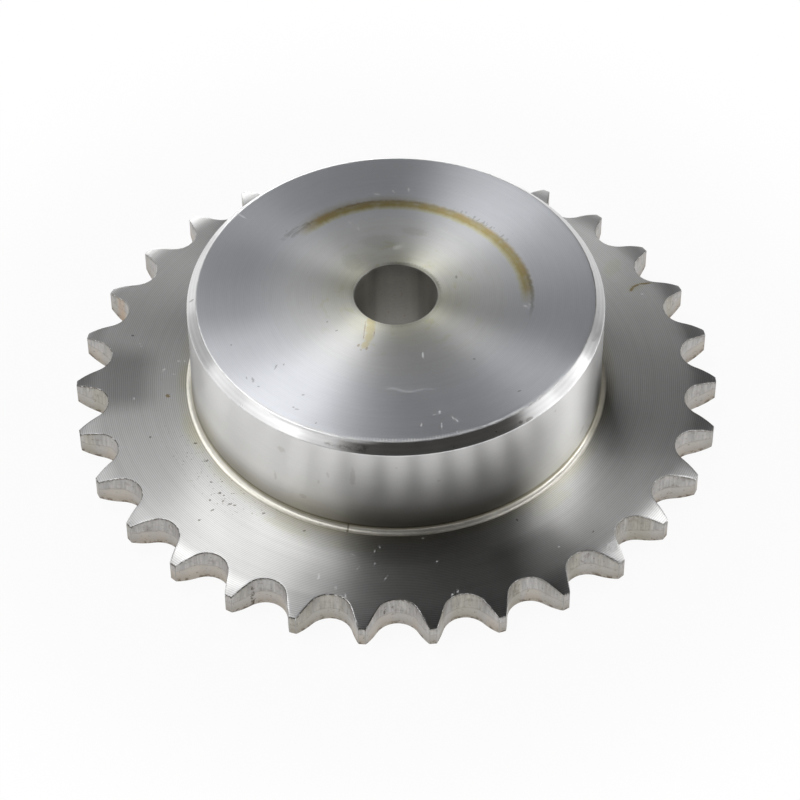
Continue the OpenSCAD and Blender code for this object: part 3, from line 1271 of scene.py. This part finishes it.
@dataclass(frozen=True)
class CutTooth(Finish):
    """The cut walls between the teeth: torn above a step, smooth below it, and dirty at the lower edge, with
    a painted shadow under the top edge and painted shade towards the foot.
    """

    colour: Colour = (0.46, 0.447, 0.435)
    roughness: float = 0.46
    plate_t: float = 7.0
    relief_from: float = 57.15
    relief_r: float = 12.7
    step_z: float = 3.3
    step_soft: float = 0.15
    dirt_height: Fade = (1.3, 0.1)
    shade_height: Fade = (3.0, 0.4)
    edge_depth: Fade = (0.65, 0.1)
    torn_depth: float = 0.05 * MM
    step_line: Film = Film((0.66, 0.63, 0.58), 0.4)
    warm: Film = Film((1.0, 0.95, 0.87), 0.8)
    oiled: Film = Film((0.97, 0.955, 0.86), 0.8)
    foot_dirt: Film = Film((0.30, 0.24, 0.17), 0.9)
    foot_shade: Film = Film((0.74, 0.70, 0.64), 0.7)
    speckled: Film = Film((0.40, 0.36, 0.30), 0.5)
    patch_darkening: Film = Film((0.60, 0.58, 0.54), 0.5)
    top_edge_shadow: Film = Film((0.40, 0.38, 0.34), 0.75)
    rusty: Film = Film((1.0, 0.84, 0.70), 0.8)
    pitted: Film = Film((0.22, 0.18, 0.13), 0.8)
    pits: tuple[Mark, ...] = (
        Mark(-59.3, -1.3, 0.9, 1.0, 0), Mark(-58.7, -0.5, 0.8, 0.6, 0), Mark(-56.9, -10.3, 1.4, 1.4, 0),
        Mark(36.8, -50.8, 1.4, 0.8, 0), Mark(-2.4, -56.8, 0.7, 0.9, 0), Mark(-27.0, -51.8, 0.8, 0.8, 0),
        Mark(-31.6, -52.8, 1.4, 0.7, 60),
    )
    rust: tuple[Mark, ...] = (Mark(-55.0, 22.7, 3.4, 2.2, 60), Mark(47.6, -38.3, 1.6, 1.0, 0))

    def paint(self, spot: Spot) -> Skin:
        """Work out a tooth's cut wall: the torn and smooth parts, then the dirt, the painted shadow under the
        top edge and the marks, then painted shade towards the foot.
        """
        graph = spot.graph
        out = (spot.r - self.relief_from).most(0.0)
        drop = self.relief_r - (self.relief_r ** 2 - out * out).root()
        below_top = (self.plate_t - drop) - spot.z
        above_foot = spot.z - drop
        streaks = graph.noise(spot.stretched(1.9, 1.9, 0.22), 1.0, 4.0, 0.65)
        grain = spot.grain(2.4, 3.0, 0.6)
        slow = spot.clouds(0.14, detail=2.0)
        level = spot.z - (slow - 0.5) * 2.4 + (grain - 0.5) * 0.7 - out * 0.12
        torn = level.rise(self.step_z - self.step_soft, self.step_z + self.step_soft)
        shade = 1.0 + (slow - 0.5) * 0.4 + (grain - 0.5) * 0.3 + torn * ((streaks - 0.5) * 1.1 + 0.04)
        colour = self.step_line.over(graph.dim(self.colour, shade), level.band(self.step_z, 0.05, 0.2))
        colour = self.warm.over(colour, (1.0 - torn) * slow.rise(0.42, 0.6))
        colour = self.oiled.over(colour, slow.rise(0.5, 0.36))
        dirt = spot.grain(0.9, 4.0, 0.65)
        colour = self.foot_dirt.over(colour, above_foot.rise(*self.dirt_height) * dirt.rise(0.48, 0.60))
        colour = self.speckled.over(colour, spot.grain(1.9, 1.0).rise(0.66, 0.73))
        colour = self.patch_darkening.over(colour, spot.grain(0.45, 3.0).rise(0.56, 0.66) * torn)
        # painted shadow of the burr along the top edge
        colour = self.top_edge_shadow.over(colour, below_top.rise(*self.edge_depth) * grain.rise(0.40, 0.55))
        colour = self.rusty.over(colour, spot.marked(self.rust, (grain - 0.5) * 1.2))
        pits = spot.marked(self.pits, (grain - 0.5) * 3.0) * dirt.rise(0.50, 0.60)
        colour = self.pitted.over(colour, pits)
        colour = self.foot_shade.over(colour, above_foot.rise(*self.shade_height))
        rough = self.roughness + torn * 0.08 + (grain - 0.5) * 0.15
        return Skin(colour, rough, graph.bump(streaks * torn + grain * 0.5, self.torn_depth))


@dataclass(frozen=True)
class DrilledBore(Finish):
    """The drilled pilot bore: dull, oily and faintly banded down its length."""

    colour: Colour = (0.47, 0.46, 0.43)
    roughness: float = 0.50
    grooves: float = 0.20
    line_pitch: float = 0.4
    dark_stripe_at: float = 88.0
    stripe_level: float = 0.83
    lighter_sides_z: Fade = (20.0, 29.0)
    lip_z: Fade = (26.0, 30.0)
    rusty: Film = Film((0.80, 0.66, 0.54), 0.5)

    def paint(self, spot: Spot) -> Skin:
        """Work out the bore: a darker stripe down its far side, a darker line beside it, sides that are
        lighter and lighter still higher up, and a darker top.
        """
        graph = spot.graph
        bands = graph.noise(spot.polar(2.2, 0.0, 0.02), 1.0, 2.0)
        grain = spot.clouds(1.2, up=1.0)
        lines = spot.lines(spot.z, self.line_pitch) * 0.04
        away = spot.turn(self.dark_stripe_at).size()
        level = away.rise(0.50, 0.80) * (spot.z.rise(*self.lighter_sides_z) * 0.25 + 0.14) + self.stripe_level
        level = level - away.band(0.66, 0.06, 0.12) * 0.12 - spot.z.rise(*self.lip_z) * 0.16
        colour = graph.dim(self.colour, level + lines + (bands - 0.5) * 0.25 + (grain - 0.5) * 0.2)
        colour = self.rusty.over(colour, grain.rise(0.62, 0.70))
        return Skin(colour, self.roughness + (grain - 0.5) * 0.08)


@dataclass(frozen=True)
class ToothEdge(Finish):
    """The broken edges of the teeth: ragged, with painted shade on the left front side and a painted
    highlight where burrs catch the light.
    """

    colour: Colour = (0.36, 0.35, 0.33)
    roughness: float = 0.48
    bared: Colour = (0.80, 0.80, 0.80)
    shaded_side: Fan = Fan(222.0, 1.2, 0.7)
    top_z: Fade = (4.8, 5.6)
    painted_shade: Film = Film((0.24, 0.22, 0.19))

    def paint(self, spot: Spot) -> Skin:
        """Work out the teeth's edges: near-white burrs at the top as a painted highlight, with painted shade
        among them on the left front side.
        """
        burrs = spot.grain(1.6)
        at_top = spot.z.rise(*self.top_z)
        # near-white burrs at the top, a painted highlight
        colour = spot.graph.blend(burrs.rise(0.50, 0.66) * at_top, self.colour, self.bared)
        # painted shade among the burrs on the left front side
        colour = self.painted_shade.over(colour, self.shaded_side.mask(spot) * burrs.rise(0.68, 0.48) * at_top)
        return Skin(colour, self.roughness + (burrs - 0.5) * 0.2)


@dataclass(frozen=True)
class HubEdge(Finish):
    """The hub's sharp edges, slightly uneven, and oily at the bore."""

    colour: Colour = (0.78, 0.78, 0.78)
    roughness: float = 0.32
    oiled: Film = Film((0.45, 0.44, 0.40))
    oil_r: Fade = (12.0, 9.0)

    def paint(self, spot: Spot) -> Skin:
        """Work out the hub's edges."""
        uneven = spot.streaks(30.0, 0.0, 2.0)
        colour = spot.graph.dim(self.colour, 0.75 + uneven * 0.5)
        colour = self.oiled.over(colour, spot.r.rise(*self.oil_r))
        return Skin(colour, self.roughness + (uneven - 0.5) * 0.2)


FINISHES: dict[Zone, Finish] = {
    Zone.HUB_FACE: FacedHub(),
    Zone.PLATE_FACE: FacedPlate(),
    Zone.BACK_FACE: FacedBack(),
    Zone.WALL: TurnedWall(),
    Zone.CHAMFER: TurnedChamfer(),
    Zone.FILLET: OiledFillet(),
    Zone.TOOTH: CutTooth(),
    Zone.BORE: DrilledBore(),
    Zone.TOOTH_EDGE: ToothEdge(),
    Zone.HUB_EDGE: HubEdge(),
}


@dataclass(frozen=True)
class Viewpoint:
    """The photograph's camera, as it stands to the sprocket's origin."""

    distance: float = 645.7 * MM
    elevation: float = math.radians(46.94)
    roll: float = math.radians(-0.33)
    focal_px: float = 3268.0
    image_px: float = 800.0
    sensor: float = 36.0
    aside: float = 0.68 * MM
    above: float = 0.30 * MM

    def place(self) -> None:
        """Make the camera and set it as the scene's own."""
        data = bpy.data.cameras.new("camera")
        data.sensor_width = self.sensor
        data.lens = self.focal_px * self.sensor / self.image_px
        camera = bpy.data.objects.new("camera", data)
        bpy.context.scene.collection.objects.link(camera)
        back = Vector((0, -math.cos(self.elevation), math.sin(self.elevation)))
        right = Vector((1, 0, 0))
        up = back.cross(right)
        c, s = math.cos(self.roll), math.sin(self.roll)
        right, up = c * right + s * up, c * up - s * right
        place = back * self.distance + right * self.aside + up * self.above
        turn = Matrix((right, up, back)).transposed().to_4x4()
        camera.matrix_world = Matrix.Translation(place) @ turn
        bpy.context.scene.camera = camera


def direction(azimuth: float, elevation: float) -> Vector:
    """Point from the sprocket in an azimuth and an elevation in degrees."""
    a, e = math.radians(azimuth), math.radians(elevation)
    return Vector((math.cos(a) * math.cos(e), math.sin(a) * math.cos(e), math.sin(e)))


@dataclass(frozen=True)
class Softbox:
    """A rectangular soft light that faces the sprocket. Its place and half sizes are angles in degrees."""

    name: str
    azimuth: float
    elevation: float
    half_width: float
    half_height: float
    radiance: float
    distance: float = 2.0

    def place(self) -> None:
        """Make the light."""
        data = bpy.data.lights.new(self.name, "AREA")
        data.shape = "RECTANGLE"
        data.size = 2 * self.distance * math.tan(math.radians(self.half_width))
        data.size_y = 2 * self.distance * math.tan(math.radians(self.half_height))
        data.energy = self.radiance * math.pi * data.size * data.size_y
        light = bpy.data.objects.new(self.name, data)
        bpy.context.scene.collection.objects.link(light)
        away = direction(self.azimuth, self.elevation)
        aim = away.to_track_quat("Z", "Y").to_matrix().to_4x4()
        light.matrix_world = Matrix.Translation(away * self.distance) @ aim
        light.visible_camera = False


@dataclass(frozen=True)
class Window:
    """A wide glow in the room round a direction, which fades out at a reach. Its angles are in degrees."""

    azimuth: float
    elevation: float
    reach: float
    radiance: float

    def glow(self, graph: Graph, way: Wire) -> Wire:
        """Work out how bright the window makes the room in a direction.

        Args:
            graph: The world's graph.
            way: The direction.

        Returns:
            The radiance that it adds there.
        """
        middle = direction(self.azimuth, self.elevation)
        toward = graph.add("ShaderNodeVectorMath", {"operation": "DOT_PRODUCT"}, {0: way, 1: middle}, "Value")
        return toward.rise(math.cos(math.radians(self.reach)), 1.0) * self.radiance


@dataclass(frozen=True)
class Studio:
    """The pale table, the softboxes and the dim room round them."""

    floor_size: float = 6.0
    floor_colour: Colour = (0.8, 0.8, 0.8)
    whitening: float = 0.94
    shadow_r: float = 0.072
    white_r: float = 0.125
    pale: float = 0.85
    pale_below: float = 0.05
    pale_fade: float = 0.08
    dim: float = 0.02
    windows: tuple[Window, ...] = (Window(azimuth=96, elevation=2, reach=24, radiance=2.6),)
    softboxes: tuple[Softbox, ...] = (
        Softbox("high_left", azimuth=135, elevation=64, half_width=9, half_height=8, radiance=6.1),
        Softbox("near_left", azimuth=222, elevation=56, half_width=9, half_height=9, radiance=2.7),
        Softbox("left", azimuth=202, elevation=41, half_width=13, half_height=9, radiance=2.7),
        Softbox("back_left", azimuth=146, elevation=41, half_width=13, half_height=9, radiance=1.8),
        Softbox("back", azimuth=106, elevation=47, half_width=7, half_height=8, radiance=1.2),
        Softbox("low_left", azimuth=180, elevation=20, half_width=13, half_height=12, radiance=1.1),
        Softbox("low_back_left", azimuth=128, elevation=3, half_width=13, half_height=8, radiance=0.95),
        Softbox("low_back", azimuth=104, elevation=3, half_width=12, half_height=8, radiance=3.8),
        Softbox("high_right", azimuth=28, elevation=53, half_width=8, half_height=8, radiance=5.1),
        Softbox("right", azimuth=18, elevation=20, half_width=9, half_height=15, radiance=0.55),
        Softbox("near_right", azimuth=-16, elevation=18, half_width=9, half_height=14, radiance=1.5),
        Softbox("low_right", azimuth=2, elevation=3, half_width=14, half_height=5, radiance=6.0),
    )

    def floor(self) -> bpy.types.Object:
        """Make the white table, which keeps the sprocket's shadow.

        Returns:
            The floor object.
        """
        bpy.ops.object.select_all(action="DESELECT")
        bpy.ops.mesh.primitive_plane_add(size=self.floor_size, location=(0, 0, 0))
        floor = bpy.context.object
        floor.name = "table"
        material = bpy.data.materials.new("white_table")
        material.use_nodes = True
        graph = Graph(material.node_tree)
        lit = graph.add("ShaderNodeBsdfDiffuse", {}, {"Color": (*self.floor_colour, 1.0)})
        white = graph.add("ShaderNodeEmission", {}, {"Strength": 1.0})
        ray = "ShaderNodeLightPath"
        seen = graph.add(ray, output="Is Camera Ray") + graph.add(ray, output="Is Glossy Ray")
        seen = seen + graph.add(ray, output="Is Transmission Ray")
        place = graph.add("ShaderNodeTexCoord", output="Object")
        away = graph.add("ShaderNodeVectorMath", {"operation": "LENGTH"}, {0: place}, "Value")
        whiteness = away.rise(self.shadow_r, self.white_r) * (1.0 - self.whitening) + self.whitening
        surface = graph.add("ShaderNodeMixShader", {}, {0: seen * whiteness, 1: lit, 2: white})
        graph.add("ShaderNodeOutputMaterial", {}, {"Surface": surface})
        floor.data.materials.append(material)
        return floor

    def room(self) -> None:
        """Make the room: pale at the table's level, dim above it, and bright round its windows."""
        world = bpy.data.worlds.new("room")
        bpy.context.scene.world = world
        world.use_nodes = True
        graph = Graph(world.node_tree)
        way = graph.add("ShaderNodeTexCoord", output="Generated")
        z = graph.add("ShaderNodeSeparateXYZ", {}, {0: way}, "Z")
        level = z.rise(self.pale_below + self.pale_fade, self.pale_below) * self.pale + self.dim
        for window in self.windows:
            level = level + window.glow(graph, way)
        background = graph.add("ShaderNodeBackground", {}, {"Color": (1.0, 1.0, 1.0, 1.0), "Strength": level})
        graph.add("ShaderNodeOutputWorld", {}, {"Surface": background})

    def set_up(self) -> None:
        """Make everything round the sprocket, and its camera."""
        self.floor()
        self.room()
        for softbox in self.softboxes:
            softbox.place()
        Viewpoint().place()
        bpy.context.scene.view_settings.view_transform = "Standard"


def main() -> None:
    """Build the sprocket and its studio."""
    logging.basicConfig(level=logging.INFO)
    materials = {zone: finish.material(zone.name.lower()) for zone, finish in FINISHES.items()}
    piece = SprocketBlank(SprocketSizes.from_frame()).build(materials)
    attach(piece, "root")
    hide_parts("sprocket")
    Studio().set_up()
    mesh = piece.data
    mesh.calc_loop_triangles()
    LOG.info("%s: %d points, %d triangles", piece.name, len(mesh.vertices), len(mesh.loop_triangles))


if __name__ == "__main__":
    main()
